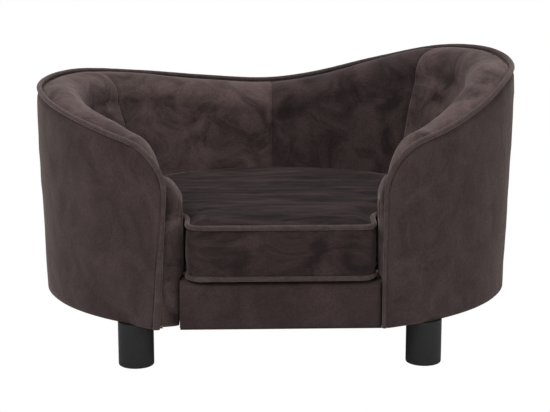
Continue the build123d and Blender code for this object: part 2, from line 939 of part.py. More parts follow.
# Dust cover under the base, and its staples
dust_level = base_height - dust_cover_thickness
with BuildPart() as dust_cover:
    with BuildSketch(Plane.XY.offset(dust_level)):
        add(oval(wall_taper + cover_thickness + 2 * board_gap, rail_pad_front))
        with Locations(*foot_points):
            Circle(tee_barrel_diameter / 2 + face_gap, mode=Mode.SUBTRACT)
        with Locations(*staples):
            with Locations(*prong_places):
                Rectangle(staple_wire + screw_play, staple_wire + screw_play, mode=Mode.SUBTRACT)
    extrude(amount=dust_cover_thickness)
save(dust_cover.part, "dust_cover")

with BuildPart() as dust_cover_staples:
    with BuildSketch(Plane.XY.offset(dust_level - staple_wire)):
        with Locations(*staples):
            Rectangle(staple_width, staple_wire)
    extrude(amount=staple_wire)
    with BuildSketch(Plane.XY.offset(dust_level)):
        with Locations(*staples):
            with Locations(*prong_places):
                Rectangle(staple_wire, staple_wire)
    extrude(amount=staple_leg)
save(dust_cover_staples.part, "dust_cover_staples")

# Feet, with the bore for the bolt
for name, place in foot_places.items():
    with BuildPart() as foot:
        with BuildSketch(Plane.XY):
            with Locations(place):
                Circle(foot_diameter / 2)
        extrude(amount=dust_level)
        fillet(foot.faces().sort_by(Axis.Z)[0].edges(), foot_edge)
        with BuildSketch(Plane.XY.offset(dust_level - bolt_depth - face_gap)):
            with Locations(place):
                Circle(bore_diameter / 2)
        extrude(amount=bolt_depth + foot_edge, mode=Mode.SUBTRACT)
    save(foot.part, "foot_" + name)

with BuildPart() as foot_bolts:
    with BuildSketch(Plane.XY.offset(dust_level - bolt_depth)):
        with Locations(*foot_points):
            Circle(bolt_diameter / 2)
    extrude(amount=bolt_depth + base_top - dust_level + bolt_projection)
save(foot_bolts.part, "foot_bolts")

with BuildPart() as tee_nuts:
    with BuildSketch(Plane.XY.offset(base_top - tee_barrel_length)):
        with Locations(*foot_points):
            Circle(tee_barrel_diameter / 2)
    extrude(amount=tee_barrel_length)
    with BuildSketch(Plane.XY.offset(base_top)):
        with Locations(*foot_points):
            Circle(tee_flange_diameter / 2)
    extrude(amount=tee_flange_thickness)
    with BuildSketch(Plane.XY.offset(base_top - tee_barrel_length)):
        with Locations(*foot_points):
            Circle(bore_diameter / 2)
    extrude(amount=tee_barrel_length + tee_flange_thickness, mode=Mode.SUBTRACT)
save(tee_nuts.part, "tee_nuts")

# Cushion levels and insets
piping_radius = cushion_piping / 2
cushion_bottom = deck_top + deck_cloth_thickness + face_gap
cushion_top = cushion_bottom + cushion_thickness
low_piping_level = cushion_bottom + piping_radius
high_piping_level = cushion_top - piping_radius
cushion_middle = (cushion_bottom + cushion_top) / 2
panel_inset = cushion_piping + face_gap
band_inset = piping_radius
foam_inset = panel_inset + cover_thickness + face_gap


def crown_sections(first_inset, drop, low):
    """Sections of the crowned top of the cushion, a drop below its outer face."""
    flat = cushion_section(first_inset, low)
    rest = [
        cushion_section(
            max(panel_inset + (crown_run - panel_inset) * share_in, first_inset),
            high_piping_level + crown_rise * share_up - drop,
        )
        for share_in, share_up in crown_shares
    ]
    return [flat] + rest


def piping_ring(level):
    """Path of a piping round the cushion."""
    return cushion_section(piping_radius, level).wire()


# Cushion foam, drawn in a little at half height and crowned on top
with BuildPart() as cushion_foam:
    loft(
        [
            cushion_section(foam_inset, cushion_bottom + cover_thickness + face_gap),
            cushion_section(foam_inset + cushion_draw_in, cushion_middle),
            cushion_section(foam_inset, high_piping_level - piping_radius),
        ]
    )
    loft(
        crown_sections(foam_inset, cover_thickness + face_gap, high_piping_level - piping_radius),
        ruled=True,
    )
save(cushion_foam.part, "cushion_foam")

# Cushion cover: crowned top panel, flat bottom panel, band round the side
with BuildPart() as cushion_top_panel:
    loft(crown_sections(panel_inset, 0, high_piping_level - cover_thickness), ruled=True)
    loft(
        crown_sections(panel_inset + cover_thickness, cover_thickness, high_piping_level - piping_radius),
        ruled=True,
        mode=Mode.SUBTRACT,
    )
save(cushion_top_panel.part, "cushion_top_panel")

with BuildPart() as cushion_bottom_panel:
    extrude(cushion_section(panel_inset, cushion_bottom), amount=cover_thickness)
save(cushion_bottom_panel.part, "cushion_bottom_panel")

band_low = cushion_bottom + cushion_piping + piece_gap
band_high = cushion_top - cushion_piping - piece_gap
with BuildPart() as cushion_band:
    for skin, mode in ((0, Mode.ADD), (cover_thickness, Mode.SUBTRACT)):
        loft(
            [
                cushion_section(band_inset + skin, band_low),
                cushion_section(band_inset + skin + cushion_draw_in, cushion_middle),
                cushion_section(band_inset + skin, band_high),
            ],
            mode=mode,
        )
save(cushion_band.part, "cushion_band")

# Piping round the top and the bottom of the cushion
for name, level in {"top": high_piping_level, "bottom": low_piping_level}.items():
    ring = piping_ring(level)
    with BuildPart() as piping:
        with BuildSketch(Plane(origin=ring @ 0, z_dir=ring % 0)):
            Circle(piping_radius)
        sweep(path=ring)
    save(piping.part, "cushion_piping_" + name)

# Zip in the middle of the back of the band; it follows the back arc of the cushion
zip_centre_y = widest_line_y + inner_back_depth - cushion_back_gap - cushion_back_radius
zip_radius = cushion_back_radius - band_inset - cushion_draw_in + 2 * face_gap


def zip_strip(inner, outer, half_angle, strip_width):
    """A strip of a given width round the zip's arc, between two radii."""
    with BuildPart() as strip:
        with BuildSketch(Plane.XY.offset(cushion_middle - strip_width / 2)):
            with BuildLine():
                CenterArc((0, zip_centre_y), outer, 90 - half_angle, 2 * half_angle)
                CenterArc((0, zip_centre_y), inner, 90 - half_angle, 2 * half_angle)
                for side in (-1, 1):
                    turn = radians(90 + side * half_angle)
                    Line(
                        (inner * cos(turn), zip_centre_y + inner * sin(turn)),
                        (outer * cos(turn), zip_centre_y + outer * sin(turn)),
                    )
            make_face()
        extrude(amount=strip_width)
    return strip.part


tape_outer = zip_radius + zip_tape_thickness
chain_outer = tape_outer + zip_chain_thickness
save(zip_strip(zip_radius, tape_outer, zip_half_angle + 1, zip_tape_width), "zip_tape")
save(zip_strip(tape_outer, chain_outer, zip_half_angle, zip_chain_width), "zip_chain")

# Zip slider, parked at one end, round the chain
slider_turn = zip_half_angle - degrees(slider_length / zip_radius)
slider_plane = Plane(
    origin=(
        chain_outer * sin(radians(-slider_turn)),
        zip_centre_y + chain_outer * cos(radians(-slider_turn)),
        cushion_middle,
    ),
    x_dir=(cos(radians(-slider_turn)), -sin(radians(-slider_turn)), 0),
    z_dir=(sin(radians(-slider_turn)), cos(radians(-slider_turn)), 0),
)
slider_base = -zip_chain_thickness + slider_play
with BuildPart() as zip_slider:
    with BuildSketch(slider_plane.offset(slider_base + slider_play)):
        RectangleRounded(slider_length, slider_width, slider_wall)
    extrude(amount=zip_chain_thickness + slider_wall)
    with BuildSketch(slider_plane.offset(slider_base)):
        Rectangle(2 * slider_length, zip_chain_width + 2 * slider_play)
    extrude(amount=zip_chain_thickness + 2 * slider_play, mode=Mode.SUBTRACT)
    with BuildSketch(slider_plane.offset(slider_wall)):
        Rectangle(slider_bridge_length, slider_bridge_width)
    extrude(amount=slider_bridge_height)
    with BuildSketch(slider_plane.offset(slider_wall + slider_bridge_height / 4)):
        Rectangle(slider_bridge_length / 2, slider_bridge_width)
    extrude(amount=slider_bridge_height / 2, mode=Mode.SUBTRACT)
save(zip_slider.part, "zip_slider")
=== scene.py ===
"""Tub-shaped sofa bed for a dog, dressed in plush. Sizes below are in millimetres unless they say otherwise."""

from math import acos, cos, degrees, pi, radians, sin, sqrt

import bmesh
import bpy
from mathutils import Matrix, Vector, noise


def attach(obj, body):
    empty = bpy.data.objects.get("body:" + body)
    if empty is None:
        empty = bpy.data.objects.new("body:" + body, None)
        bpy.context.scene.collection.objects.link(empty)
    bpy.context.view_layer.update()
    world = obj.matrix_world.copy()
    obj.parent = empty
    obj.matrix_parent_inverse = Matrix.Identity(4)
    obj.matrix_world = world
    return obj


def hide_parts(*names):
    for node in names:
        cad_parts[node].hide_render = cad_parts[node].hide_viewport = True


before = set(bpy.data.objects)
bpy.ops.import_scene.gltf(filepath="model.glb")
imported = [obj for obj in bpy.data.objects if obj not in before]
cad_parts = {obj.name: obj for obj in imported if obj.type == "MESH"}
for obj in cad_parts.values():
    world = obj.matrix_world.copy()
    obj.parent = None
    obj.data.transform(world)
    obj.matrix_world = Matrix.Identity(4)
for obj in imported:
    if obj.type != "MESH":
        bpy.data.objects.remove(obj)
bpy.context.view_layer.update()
MM = 0.001

# Plan and wall of the sofa, the same curves as the CAD model
HALF_WIDTH, DEPTH, HEIGHT, OPENING = 345.0, 500.0, 400.0, 262.0
WIDEST_Y = 5.0
RIGHT_END, LEFT_END = -65.3, 242.4
RIGHT_SEAM, BACK_SEAM, LEFT_SEAM = 38.0, 90.0, 148.0
BACK_SEMI = DEPTH / 2 - WIDEST_Y
FRONT_SEMI = (DEPTH / 2 + WIDEST_Y) / sin(radians(-RIGHT_END))
INNER_HALF, INNER_BACK = HALF_WIDTH - 123.0, BACK_SEMI - 96.0
ARM_END, ROLL, TAPER, TIP = 76.0, 68.0, 8.5, 55.0
WALL_LOW, DECK_TOP = 62.35, 126.0
WELT_RADIUS, WELT_INSET, WELT_CLEAR = 3.5, 4.5, 5.1
COVER_START = WELT_INSET + WELT_RADIUS + 0.6
ROLL_DEPTH, SHOULDER, DRAW = 45.0, 34.0, 2.5
RAIL_HALF, RAIL_FRONT, RAIL_BACK = 135.5, -240.0, -213.6
WAVE = (
    (-70.0, 0.765), (-51.0, 0.822), (-36.0, 0.888), (-20.0, 0.956), (0.0, 0.982), (21.0, 1.0),
    (41.0, 0.984), (61.0, 0.921), (79.0, 0.853), (92.0, 0.830), (109.0, 0.847), (128.0, 0.880),
    (152.0, 0.913), (180.0, 0.906), (195.0, 0.893), (217.0, 0.847), (232.5, 0.802), (246.0, 0.765),
)


def wave(angle):
    """Height of the top of the welt at a plan angle."""
    i = max(k for k in range(len(WAVE) - 1) if WAVE[k][0] <= angle)
    (a0, s0), (a1, s1) = WAVE[i], WAVE[i + 1]
    before, after = WAVE[max(i - 1, 0)], WAVE[min(i + 2, len(WAVE) - 1)]
    m0 = (s1 - before[1]) / (a1 - before[0]) * (a1 - a0)
    m1 = (after[1] - s0) / (after[0] - a0) * (a1 - a0)
    t = (angle - a0) / (a1 - a0)
    share = (2 * t**3 - 3 * t**2 + 1) * s0 + (t**3 - 2 * t**2 + t) * m0
    return (share + (3 * t**2 - 2 * t**3) * s1 + (t**3 - t**2) * m1) * HEIGHT


def outer_point(angle):
    semi = BACK_SEMI if sin(radians(angle)) > 0 else FRONT_SEMI
    return Vector((HALF_WIDTH * cos(radians(angle)), WIDEST_Y + semi * sin(radians(angle)), 0))


def inner_point(angle):
    turn = radians(angle)
    if sin(turn) > 0:
        return Vector((INNER_HALF * cos(turn), WIDEST_Y + INNER_BACK * sin(turn), 0))
    end_angle = RIGHT_END if cos(turn) > 0 else LEFT_END
    end = outer_point(end_angle)
    end_turn = acos(abs(end.x) / INNER_HALF)
    semi = (WIDEST_Y - end.y - ARM_END) / sin(end_turn)
    full = abs(end_angle if end_angle < 0 else end_angle - 180)
    turned = end_turn * (-angle if end_angle < 0 else angle - 180) / full
    side = 1 if end_angle < 0 else -1
    return Vector((side * INNER_HALF * cos(turned), WIDEST_Y - semi * sin(turned), 0))


def wall_thickness(angle):
    return (inner_point(angle) - outer_point(angle)).length


def place(angle, inset, level, shift=0.0):
    """Point on the upright plane across the wall at a plan angle."""
    inward = (inner_point(angle) - outer_point(angle)).normalized()
    along = inward.cross(Vector((0, 0, 1)))
    point = outer_point(angle) + inward * inset + along * shift
    return Vector((point.x, point.y, level))


def tip_angle(end_angle, distance):
    t = radians(end_angle)
    pace = sqrt((HALF_WIDTH * sin(t)) ** 2 + (FRONT_SEMI * cos(t)) ** 2)
    return end_angle + degrees(distance / pace) * (1 if end_angle < 0 else -1)


def welt_height(angle):
    """Height of the middle of the welt, with its fall at the rounded arm tips."""
    right = (angle - RIGHT_END) / (tip_angle(RIGHT_END, TIP) - RIGHT_END)
    left = (LEFT_END - angle) / (LEFT_END - tip_angle(LEFT_END, TIP))
    into = min((1 - min(right, left, 1)) * 0.97, 0.97)
    return wave(angle) - WELT_RADIUS - TIP * (1 - sqrt(1 - into**2))


def roll_rise(angle):
    back = max(0.0, sin(radians(angle)))
    return 2.5 * (1 - back) - 4.0 * back


def spread(start, end, count):
    return [start + (end - start) * i / count for i in range(count + 1)]


TIP_SHARES = (0.97, 0.95, 0.92, 0.88, 0.82, 0.74, 0.64, 0.52, 0.38, 0.2, 0.0)
RIGHT_TIP = [tip_angle(RIGHT_END, TIP * (1 - s / 0.97)) for s in TIP_SHARES]
LEFT_TIP = [tip_angle(LEFT_END, TIP * (1 - s / 0.97)) for s in reversed(TIP_SHARES)]


def seam_angles(start, end, count):
    """Plan angles between two seams, closer together beside them."""
    near = (0.0, 0.35, 0.8, 1.4)
    inner = spread(start + 1.4, end - 1.4, count)[1:-1]
    return [start + n for n in near] + inner + [end - n for n in reversed(near)]


def arc3(start, middle, end, count):
    """Points of the circle through three points of a section."""
    (ax, ay), (bx, by), (cx, cy) = start, middle, end
    d = 2 * (ax * (by - cy) + bx * (cy - ay) + cx * (ay - by))
    ux = ((ax**2 + ay**2) * (by - cy) + (bx**2 + by**2) * (cy - ay) + (cx**2 + cy**2) * (ay - by)) / d
    uy = ((ax**2 + ay**2) * (cx - bx) + (bx**2 + by**2) * (ax - cx) + (cx**2 + cy**2) * (bx - ax)) / d
    radius = sqrt((ax - ux) ** 2 + (ay - uy) ** 2)

    def turn_of(x, y):
        v = Vector((x - ux, y - uy))
        return Vector((0, 1)).angle_signed(v)

    t0, t1 = turn_of(ax, ay), turn_of(cx, cy)
    return [(ux + radius * sin(t), uy + radius * cos(t)) for t in spread(t0, t1, count)]


def soft(point, amount, size):
    """Slow unevenness of stuffed cloth, in mm."""
    return amount * noise.noise(point / size)


# Materials -------------------------------------------------------------------


def new_material(name):
    material = bpy.data.materials.new(name)
    material.use_nodes = True
    nodes = material.node_tree.nodes
    return material, nodes, material.node_tree.links, nodes["Principled BSDF"]


def plush(
    name, dark, light, scale, stretch, sheen, spread_low=0.34, spread_high=0.68, swell_strength=0.15
):
    """Brushed pile: soft light and dark patches, a fine grain, and a paler sheen at the edges."""
    material, nodes, links, shader = new_material(name)
    coords = nodes.new("ShaderNodeTexCoord")
    mapping = nodes.new("ShaderNodeMapping")
    mapping.inputs["Scale"].default_value = stretch
    links.new(coords.outputs["Object"], mapping.inputs["Vector"])
    patches = nodes.new("ShaderNodeTexNoise")
    patches.inputs["Scale"].default_value = scale
    patches.inputs["Detail"].default_value = 7.0
    patches.inputs["Roughness"].default_value = 0.62
    patches.inputs["Distortion"].default_value = 0.9
    links.new(mapping.outputs["Vector"], patches.inputs["Vector"])
    grain = nodes.new("ShaderNodeTexNoise")
    grain.inputs["Scale"].default_value = 420.0
    grain.inputs["Detail"].default_value = 3.0
    links.new(coords.outputs["Object"], grain.inputs["Vector"])
    ramp = nodes.new("ShaderNodeValToRGB")
    ramp.color_ramp.elements[0].position = spread_low
    ramp.color_ramp.elements[0].color = (*dark, 1)
    ramp.color_ramp.elements[1].position = spread_high
    ramp.color_ramp.elements[1].color = (*light, 1)
    links.new(patches.outputs["Fac"], ramp.inputs["Fac"])
    fleck = nodes.new("ShaderNodeMixRGB")
    fleck.blend_type = "MULTIPLY"
    fleck.inputs["Fac"].default_value = 0.55
    links.new(ramp.outputs["Color"], fleck.inputs["Color1"])
    speck = nodes.new("ShaderNodeValToRGB")
    speck.color_ramp.elements[0].position = 0.3
    speck.color_ramp.elements[0].color = (0.55, 0.55, 0.55, 1)
    speck.color_ramp.elements[1].position = 0.7
    speck.color_ramp.elements[1].color = (1.3, 1.3, 1.3, 1)
    links.new(grain.outputs["Fac"], speck.inputs["Fac"])
    links.new(speck.outputs["Color"], fleck.inputs["Color2"])
    links.new(fleck.outputs["Color"], shader.inputs["Base Color"])
    shader.inputs["Roughness"].default_value = 0.95
    shader.inputs["Specular IOR Level"].default_value = 0.12
    shader.inputs["Sheen Weight"].default_value = sheen
    shader.inputs["Sheen Roughness"].default_value = 0.42
    shader.inputs["Sheen Tint"].default_value = (0.62, 0.5, 0.47, 1)
    bump = nodes.new("ShaderNodeBump")
    bump.inputs["Strength"].default_value = 0.45
    bump.inputs["Distance"].default_value = 0.0012
    links.new(grain.outputs["Fac"], bump.inputs["Height"])
    swell = nodes.new("ShaderNodeBump")
    swell.inputs["Strength"].default_value = swell_strength
    swell.inputs["Distance"].default_value = 0.006
    links.new(patches.outputs["Fac"], swell.inputs["Height"])
    links.new(swell.outputs["Normal"], bump.inputs["Normal"])
    links.new(bump.outputs["Normal"], shader.inputs["Normal"])
    return material


def plain(name, colour, roughness, metallic=0.0, scale=60.0, change=0.25, bump_depth=0.0003):
    """A hard or flat finish with a slight unevenness of colour and surface."""
    material, nodes, links, shader = new_material(name)
    coords = nodes.new("ShaderNodeTexCoord")
    spots = nodes.new("ShaderNodeTexNoise")
    spots.inputs["Scale"].default_value = scale
    spots.inputs["Detail"].default_value = 5.0
    links.new(coords.outputs["Object"], spots.inputs["Vector"])
    ramp = nodes.new("ShaderNodeValToRGB")
    ramp.color_ramp.elements[0].position = 0.3
    ramp.color_ramp.elements[0].color = (*[c * (1 - change) for c in colour], 1)
    ramp.color_ramp.elements[1].position = 0.7
    ramp.color_ramp.elements[1].color = (*[c * (1 + change) for c in colour], 1)
    links.new(spots.outputs["Fac"], ramp.inputs["Fac"])
    links.new(ramp.outputs["Color"], shader.inputs["Base Color"])
    shader.inputs["Roughness"].default_value = roughness
    shader.inputs["Metallic"].default_value = metallic
    bump = nodes.new("ShaderNodeBump")
    bump.inputs["Strength"].default_value = 0.3
    bump.inputs["Distance"].default_value = bump_depth
    links.new(spots.outputs["Fac"], bump.inputs["Height"])
    links.new(bump.outputs["Normal"], shader.inputs["Normal"])
    return material


outer_plush = plush("plush_outer", (0.024, 0.0153, 0.0146), (0.042, 0.029, 0.0275), 24.0, (1.0, 1.0, 0.8), 0.17)
inner_plush = plush("plush_inner", (0.016, 0.01, 0.0098), (0.066, 0.045, 0.043), 21.0, (1, 1, 1), 0.24, 0.35, 0.64, 0.3)
lit_plush = plush("plush_lit", (0.023, 0.0145, 0.014), (0.06, 0.041, 0.039), 17.0, (1, 1, 1), 0.24, 0.38, 0.6, 0.3)
shaded_plush = plush("plush_shaded", (0.012, 0.0072, 0.0075), (0.033, 0.0215, 0.0215), 17.0, (1, 1, 1), 0.2, 0.38, 0.6, 0.3)
rail_plush = plush("plush_rail", (0.022, 0.0135, 0.0135), (0.034, 0.022, 0.0215), 24.0, (1.0, 1.0, 0.8), 0.14)
seat_plush = plush(
    "plush_seat", (0.0045, 0.0026, 0.0027), (0.0225, 0.0138, 0.014), 34.0, (0.3, 1.5, 1.5), 0.055, 0.4, 0.62, 0.3
)
band_plush = plush(
    "plush_band", (0.011, 0.0064, 0.0066), (0.03, 0.0185, 0.0185), 22.0, (0.7, 1.5, 1.5), 0.16, 0.38, 0.62, 0.3
)
piping_plush = plush("plush_piping", (0.03, 0.0205, 0.0198), (0.047, 0.034, 0.0325), 60.0, (1, 1, 1), 0.3)
finishes = {
    "plywood": plain("plywood", (0.42, 0.27, 0.14), 0.6, scale=25.0, change=0.2),
    "fibreboard": plain("fibreboard", (0.21, 0.13, 0.075), 0.75, scale=150.0, change=0.15),
    "steel": plain("steel", (0.45, 0.45, 0.47), 0.35, metallic=1.0, change=0.1),
    "nonwoven": plain("nonwoven", (0.012, 0.012, 0.013), 0.9, scale=300.0),
    "foot_plastic": plain("foot_plastic", (0.0078, 0.0072, 0.0074), 0.6, scale=200.0, change=0.15),
    "foam": plain("foam", (0.62, 0.56, 0.4), 0.9, scale=300.0, change=0.12),
    "zip_tape": plain("zip_tape", (0.018, 0.013, 0.012), 0.85, scale=500.0),
    "zip_chain": plain("zip_chain", (0.012, 0.01, 0.01), 0.4, scale=500.0),
    "zip_metal": plain("zip_metal", (0.28, 0.26, 0.24), 0.3, metallic=1.0, change=0.1),
}
finishes["foot_plastic"].node_tree.nodes["Principled BSDF"].inputs["Specular IOR Level"].default_value = 0.22
WORDS = (
    ("rib_screws", "steel"), ("staples", "steel"), ("foot_bolts", "steel"), ("tee_nuts", "steel"),
    ("foot_", "foot_plastic"), ("shell_board", "fibreboard"), ("base_board", "plywood"),
    ("rib_", "plywood"), ("rail_board", "plywood"), ("bearer", "plywood"), ("seat_deck", "plywood"),
    ("deck_cloth", "nonwoven"), ("dust_cover", "nonwoven"), ("zip_tape", "zip_tape"),
    ("zip_chain", "zip_chain"), ("zip_slider", "zip_metal"), ("pad", "foam"), ("foam", "foam"),
)
for node_name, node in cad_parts.items():
    finish = next((finishes[key] for word, key in WORDS if word in node_name), outer_plush)
    if not node.material_slots:
        node.data.materials.append(finish)
    for material_slot in node.material_slots:
        material_slot.material = finish


# Pieces ----------------------------------------------------------------------


def lean(point):
    """The front of the left arm leans outwards towards its foot."""
    if point.x > -131.0 or point.x < -215.0 or point.y > -120.0:
        return point
    across = (-131.0 - point.x) / 29.0 if point.x > -160.0 else (point.x + 215.0) / 55.0
    across = across * across * (3 - 2 * across)
    low = min(1.0, max(0.0, (262.0 - point.z) / 200.0))
    front = min(1.0, (-120.0 - point.y) / 60.0)
    return Vector((point.x - 15.0 * across * low * front, point.y, point.z))


def add_piece(name, points, faces, material, body, replaced):
    """A smooth mesh piece, points in mm, riding one body and standing for CAD nodes."""
    mesh = bpy.data.meshes.new(name)
    mesh.from_pydata([tuple(lean(p) * MM) for p in points], [], faces)
    work = bmesh.new()
    work.from_mesh(mesh)
    bmesh.ops.remove_doubles(work, verts=work.verts, dist=0.00005)
    bmesh.ops.recalc_face_normals(work, faces=work.faces)
    work.to_mesh(mesh)
    work.free()
    mesh.materials.append(material)
    for polygon in mesh.polygons:
        polygon.use_smooth = True
    piece = bpy.data.objects.new(name, mesh)
    bpy.context.scene.collection.objects.link(piece)
    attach(piece, body)
    if replaced:
        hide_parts(*replaced)
    return piece


def grid_faces(columns, rows, start=0, closed_rows=False, closed_columns=False):
    faces = []
    for c in range(columns if closed_columns else columns - 1):
        for r in range(rows if closed_rows else rows - 1):
            a, b = start + c * rows, start + (c + 1) % columns * rows
            faces.append((a + r, a + (r + 1) % rows, b + (r + 1) % rows, b + r))
    return faces


def seam_dip(angle, *seams):
    """How far the cloth dips beside a seam."""
    return sum(3.6 * max(0.0, 1 - abs(angle - seam) / 1.3) ** 1.3 for seam in seams)


def outer_column(angle, extra=0.0, shift=0.0):
    """Outer cover: up the outer face, over the soft shoulder, and in to its seam under the welt.

    extra sets the column further in and shift sets it along the wall, for the lips beyond an arm's end.
    """
    edge = welt_height(angle) - WELT_CLEAR
    shoulder = edge - SHOULDER
    dip = seam_dip(angle, RIGHT_SEAM, LEFT_SEAM)
    points = [
        (TAPER + 9 + extra, WALL_LOW + 1),
        (TAPER + 2.5 + extra, WALL_LOW),
        (TAPER + extra, WALL_LOW + 2.5),
    ]
    for t in spread(0.0, 1.0, 26)[1:]:
        points.append((TAPER * (1 - t) + extra, WALL_LOW + 2.5 + (shoulder - WALL_LOW - 2.5) * t))
    for t in spread(0.0, 1.0, 9)[1:]:
        tuck = 2.5 * max(0.0, (t - 0.8) / 0.2) ** 2
        points.append((DRAW * t * t + tuck + extra, shoulder + SHOULDER * t))
    points.append((WELT_INSET - 0.3 + extra, edge + 2.6))
    points.append((WELT_INSET + extra, edge + 4.0))
    if extra:
        points = [(inset, min(level, edge - 2.0)) for inset, level in points]
    column = []
    for inset, level in points:
        base = place(angle, inset, level)
        up = min(1.0, max(0.0, (level - WALL_LOW) / 40)) * min(1.0, max(0.0, (edge - level) / 25))
        swell = soft(base, 1.7, 90.0) * up + soft(base, 0.5, 26.0) * up
        column.append(place(angle, inset + dip - swell, level, shift))
    return column


def build_outer(name, angles, replaced):
    columns = [outer_column(angle) for angle in angles]
    if angles[0] == RIGHT_END:
        columns = [outer_column(RIGHT_END, 13.0, -1.0), outer_column(RIGHT_END, 4.0, -4.0)] + columns
    if angles[-1] == LEFT_END:
        columns += [outer_column(LEFT_END, 4.0, 4.0), outer_column(LEFT_END, 13.0, 1.0)]
    points = [p for column in columns for p in column]
    faces = grid_faces(len(columns), len(columns[0]))
    return add_piece(name, points, faces, outer_plush, "sofa", replaced)


right_arm = RIGHT_TIP + seam_angles(RIGHT_TIP[-1], RIGHT_SEAM, 46)[1:]
left_arm = seam_angles(LEFT_SEAM, LEFT_TIP[0], 46)[:-1] + LEFT_TIP
build_outer("outer_cloth_right", right_arm, ["outer_cover_right"])
build_outer("outer_cloth_back", seam_angles(RIGHT_SEAM, LEFT_SEAM, 60), ["outer_cover_back", "outer_wadding"])
build_outer("outer_cloth_left", left_arm, ["outer_cover_left"])

ROLL_ROWS, FACE_ROWS, FOOT_ROWS, LOW_ROWS, FRONT_ROWS = 26, 22, 12, 8, 40
NOSE_DRAW = 0.84


def roll_points(level, start, roll, crown, end_inset, low):
    """Section from under the welt, over the roll and down the inner face."""
    points = arc3((start, level - WELT_CLEAR), ((start + roll) / 2, crown), (roll, level - ROLL_DEPTH), ROLL_ROWS)
    for t in spread(0.0, 1.0, FACE_ROWS)[1:]:
        ease = t + 0.10 * sin(pi * t) * (1 - t)
        points.append((roll + (end_inset - roll) * ease, level - ROLL_DEPTH + (low - level + ROLL_DEPTH) * t))
    return points


def inner_column(angle):
    level = welt_height(angle)
    dip = seam_dip(angle, RIGHT_SEAM, BACK_SEAM, LEFT_SEAM)
    section = roll_points(
        level, COVER_START, ROLL, level + roll_rise(angle), wall_thickness(angle), DECK_TOP
    )
    section = [(WELT_INSET + 1.5, level - 1.5)] + section + [(wall_thickness(angle) + 8.0, DECK_TOP + 0.6)]
    column = []
    for i, (inset, height) in enumerate(section):
        base = place(angle, inset, height)
        share = min(1.0, max(0, i - 1) / 6.0)
        end_share = min(1.0, min(angle - RIGHT_END, LEFT_END - angle) / 6.0)
        swell = (soft(base, 2.8, 75.0) + soft(base, 1.0, 24.0)) * share * end_share
        lift = max(0.0, 1 - i / ROLL_ROWS)
        across = inset + (swell - dip) * (1 - lift)
        column.append(place(angle, across, height + (swell - dip) * lift * share))
    return column


def nose_loop(end_angle, out, draw, reach):
    """Closed section of the padded arm front, a way out from the end of the wall."""
    level = welt_height(end_angle)
    half = (ARM_END - COVER_START) / 2
    inset = half * draw
    start, roll, end_inset = COVER_START + inset, ROLL - inset, ARM_END - inset
    crown = level + roll_rise(end_angle) - inset
    points = roll_points(level - inset, start, roll, crown, end_inset, DECK_TOP)
    points += [
        (end_inset, DECK_TOP + (WALL_LOW - DECK_TOP) * t) for t in spread(0.0, 1.0, FOOT_ROWS)[1:]
    ]
    back_low = (start + TAPER * (1 - draw), WALL_LOW)
    points += [(end_inset + (back_low[0] - end_inset) * t, WALL_LOW) for t in spread(0.0, 1.0, LOW_ROWS)[1:]]
    top = points[0]
    points += [
        (back_low[0] + (top[0] - back_low[0]) * t, WALL_LOW + (top[1] - WALL_LOW) * t)
        for t in spread(0.0, 1.0, FRONT_ROWS)[1:-1]
    ]
    side = 1 if end_angle > 0 else -1
    if side > 0:
        front = len(points) - (FRONT_ROWS - 1)
        points[front:] = [
            (inset_here - 8.0 * (1 - out) * min(1.0, max(0.0, (262.0 - height) / 200.0)), height)
            for inset_here, height in points[front:]
        ]
    loop = []
    for inset_here, height in points:
        near_top = min(1.0, max(0.0, (height - level + 95) / 95))
        fall = 20.0 * (draw / NOSE_DRAW) * near_top * min(1.0, reach / 29)
        height -= fall
        base = place(end_angle, inset_here, height, side * reach * out)
        gather = 0.0
        if end_angle > 0 and height < 125:
            fading = max(0.0, 1 - abs(height - 92) / 34) * min(1.0, out * 2)
            gather = 1.3 * sin(height * 0.55 + inset_here * 0.25) * fading
        swell = (soft(base, 2.2, 55.0) + gather) * min(1.0, out * 1.6)
        point = place(end_angle, inset_here, height, side * (reach * out + min(0.0, swell)))
        limit = RAIL_HALF + 0.9
        if height < 134 and abs(point.x) < limit:
            hold = min(1.0, (134 - height) / 7)
            point.x += (limit * (1 if point.x > 0 else -1) - point.x) * hold
        loop.append(point)
    return loop


NOSE_TURNS = (0.0, 8, 16, 24, 32, 40, 48, 56, 64, 71, 77, 82, 86)


def build_arm(name, angles, end_angle, replaced):
    columns = [inner_column(angle) for angle in angles]
    points = [p for column in columns for p in column]
    faces = grid_faces(len(columns), len(columns[0]))
    first = len(points)
    reach = abs(outer_point(end_angle).x) - OPENING / 2
    loops = [
        nose_loop(end_angle, sin(radians(t)), NOSE_DRAW * (1 - cos(radians(t))) ** 1.05, reach)
        for t in NOSE_TURNS
    ]
    for loop in loops:
        points += loop
    faces += grid_faces(len(loops), len(loops[0]), first, closed_rows=True)
    tip = loops[-1]
    n, old = len(tip), len(points) - len(tip)
    middle = sum(tip, Vector((0, 0, 0))) / n
    for share in (0.6, 0.25):
        fresh = len(points)
        points += [middle + (p - middle) * share for p in tip]
        faces += [(old + k, old + (k + 1) % n, fresh + (k + 1) % n, fresh + k) for k in range(n)]
        old = fresh
    faces.append(tuple(range(old, old + n)))
    return add_piece(name, points, faces, inner_plush, "sofa", replaced)


